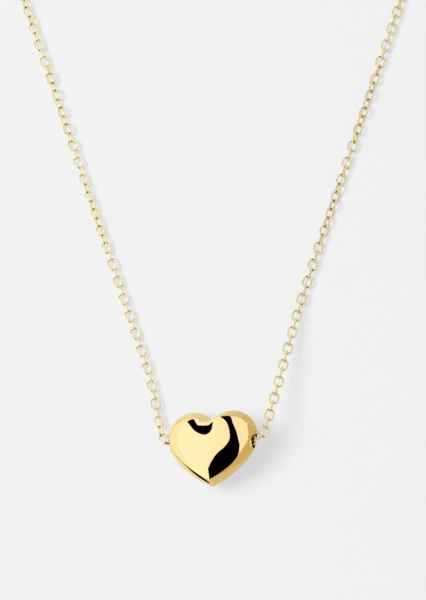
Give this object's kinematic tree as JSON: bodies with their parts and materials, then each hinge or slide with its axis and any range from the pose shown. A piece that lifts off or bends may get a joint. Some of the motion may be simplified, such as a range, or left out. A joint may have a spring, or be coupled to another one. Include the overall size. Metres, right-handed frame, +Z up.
{
  "type": "pendant necklace",
  "caption": "Pendant necklace: a puffed heart bead threaded on a fine cable chain that closes with a lobster clasp and end ring.",
  "frame": {"origin": "middle of the closed loop's bounding box, at table height", "axes": "+Y from the heart to the clasp along the middle line, +X to the right seen from above, +Z up off the table"},
  "size_m": [0.0881, 0.1726, 0.0072],
  "materials": {
    "polished_gold": "mirror polished",
    "spring_steel": "bright spring strip"
  },
  "bodies": {
    "clasp_end": {"top_left_chain": "polished_gold", "top_right_chain": "polished_gold", "clasp_body": "polished_gold", "clasp_pin": "polished_gold", "clasp_spring": "spring_steel", "clasp_jump_ring": "polished_gold", "end_ring": "polished_gold"},
    "lever": {"clasp_lever": "polished_gold"},
    "left_1": {"left_chain_1": "polished_gold"},
    "right_1": {"right_chain_1": "polished_gold"},
    "left_2": {"left_chain_2": "polished_gold"},
    "right_2": {"right_chain_2": "polished_gold"},
    "left_3": {"left_chain_3": "polished_gold"},
    "right_3": {"right_chain_3": "polished_gold"},
    "left_4": {"left_chain_4": "polished_gold"},
    "right_4": {"right_chain_4": "polished_gold"},
    "left_5": {"left_chain_5": "polished_gold"},
    "right_5": {"right_chain_5": "polished_gold"},
    "left_6": {"left_chain_6": "polished_gold"},
    "right_6": {"right_chain_6": "polished_gold"},
    "left_7": {"left_chain_7": "polished_gold"},
    "right_7": {"right_chain_7": "polished_gold"},
    "left_8": {"left_chain_8": "polished_gold"},
    "right_8": {"right_chain_8": "polished_gold"},
    "left_9": {"left_chain_9": "polished_gold", "chain_through_heart": "polished_gold"},
    "right_9": {"right_chain_9": "polished_gold"},
    "heart": {"heart_front_shell": "polished_gold", "heart_back_shell": "polished_gold", "heart_bore_tube": "polished_gold"}
  },
  "joints": [
    {"name": "left_fold_1", "type": "hinge", "parent": "clasp_end", "child": "left_1", "pos_m": [-0.03952, 0.05878, 0.00068], "axis": [1, 0, 0], "range_deg": [-25, 25]},
    {"name": "right_fold_1", "type": "hinge", "parent": "clasp_end", "child": "right_1", "pos_m": [0.03952, 0.05878, 0.00068], "axis": [1, 0, 0], "range_deg": [-25, 25]},
    {"name": "left_fold_2", "type": "hinge", "parent": "left_1", "child": "left_2", "pos_m": [-0.04324, 0.04444, 0.00068], "axis": [1, 0, 0], "range_deg": [-25, 25]},
    {"name": "right_fold_2", "type": "hinge", "parent": "right_1", "child": "right_2", "pos_m": [0.04324, 0.04444, 0.00068], "axis": [1, 0, 0], "range_deg": [-25, 25]},
    {"name": "left_fold_3", "type": "hinge", "parent": "left_2", "child": "left_3", "pos_m": [-0.04192, 0.02969, 0.00068], "axis": [1, 0, 0], "range_deg": [-25, 25]},
    {"name": "right_fold_3", "type": "hinge", "parent": "right_2", "child": "right_3", "pos_m": [0.04192, 0.02969, 0.00068], "axis": [1, 0, 0], "range_deg": [-25, 25]},
    {"name": "left_fold_4", "type": "hinge", "parent": "left_3", "child": "left_4", "pos_m": [-0.0373, 0.01555, 0.00068], "axis": [1, 0, 0], "range_deg": [-25, 25]},
    {"name": "right_fold_4", "type": "hinge", "parent": "right_3", "child": "right_4", "pos_m": [0.0373, 0.01555, 0.00068], "axis": [1, 0, 0], "range_deg": [-25, 25]},
    {"name": "left_fold_5", "type": "hinge", "parent": "left_4", "child": "left_5", "pos_m": [-0.0326, 0.00143, 0.00068], "axis": [1, 0, 0], "range_deg": [-25, 25]},
    {"name": "right_fold_5", "type": "hinge", "parent": "right_4", "child": "right_5", "pos_m": [0.0326, 0.00143, 0.00068], "axis": [1, 0, 0], "range_deg": [-25, 25]},
    {"name": "left_fold_6", "type": "hinge", "parent": "left_5", "child": "left_6", "pos_m": [-0.0279, -0.01269, 0.00068], "axis": [1, 0, 0], "range_deg": [-25, 25]},
    {"name": "right_fold_6", "type": "hinge", "parent": "right_5", "child": "right_6", "pos_m": [0.0279, -0.01269, 0.00068], "axis": [1, 0, 0], "range_deg": [-25, 25]},
    {"name": "left_fold_7", "type": "hinge", "parent": "left_6", "child": "left_7", "pos_m": [-0.02321, -0.02681, 0.00068], "axis": [1, 0, 0], "range_deg": [-25, 25]},
    {"name": "right_fold_7", "type": "hinge", "parent": "right_6", "child": "right_7", "pos_m": [0.02321, -0.02681, 0.00068], "axis": [1, 0, 0], "range_deg": [-25, 25]},
    {"name": "left_fold_8", "type": "hinge", "parent": "left_7", "child": "left_8", "pos_m": [-0.01851, -0.04092, 0.00068], "axis": [1, 0, 0], "range_deg": [-25, 25]},
    {"name": "right_fold_8", "type": "hinge", "parent": "right_7", "child": "right_8", "pos_m": [0.01851, -0.04092, 0.00068], "axis": [1, 0, 0], "range_deg": [-25, 25]},
    {"name": "left_fold_9", "type": "hinge", "parent": "left_8", "child": "left_9", "pos_m": [-0.01381, -0.05504, 0.00068], "axis": [1, 0, 0], "range_deg": [-25, 25]},
    {"name": "right_fold_9", "type": "hinge", "parent": "right_8", "child": "right_9", "pos_m": [0.01381, -0.05504, 0.00068], "axis": [1, 0, 0], "range_deg": [-25, 25]},
    {"name": "heart_spin", "type": "hinge", "parent": "left_9", "child": "heart", "pos_m": [0, -0.08049, 0.00358], "axis": [0.9397, 0, 0.342], "continuous": true},
    {"name": "clasp_lever_pivot", "type": "hinge", "parent": "clasp_end", "child": "lever", "pos_m": [-0.00075, 0.08449, 0.00114], "axis": [0, 0, 1], "range_deg": [-20, 0], "stiffness_Nm_per_rad": 0.005}
  ],
  "couplings": [
    {"joint": "right_fold_1", "follows": "left_fold_1", "ratio": 1},
    {"joint": "right_fold_2", "follows": "left_fold_2", "ratio": 1},
    {"joint": "right_fold_3", "follows": "left_fold_3", "ratio": 1},
    {"joint": "right_fold_4", "follows": "left_fold_4", "ratio": 1},
    {"joint": "right_fold_5", "follows": "left_fold_5", "ratio": 1},
    {"joint": "right_fold_6", "follows": "left_fold_6", "ratio": 1},
    {"joint": "right_fold_7", "follows": "left_fold_7", "ratio": 1},
    {"joint": "right_fold_8", "follows": "left_fold_8", "ratio": 1},
    {"joint": "right_fold_9", "follows": "left_fold_9", "ratio": 1}
  ]
}
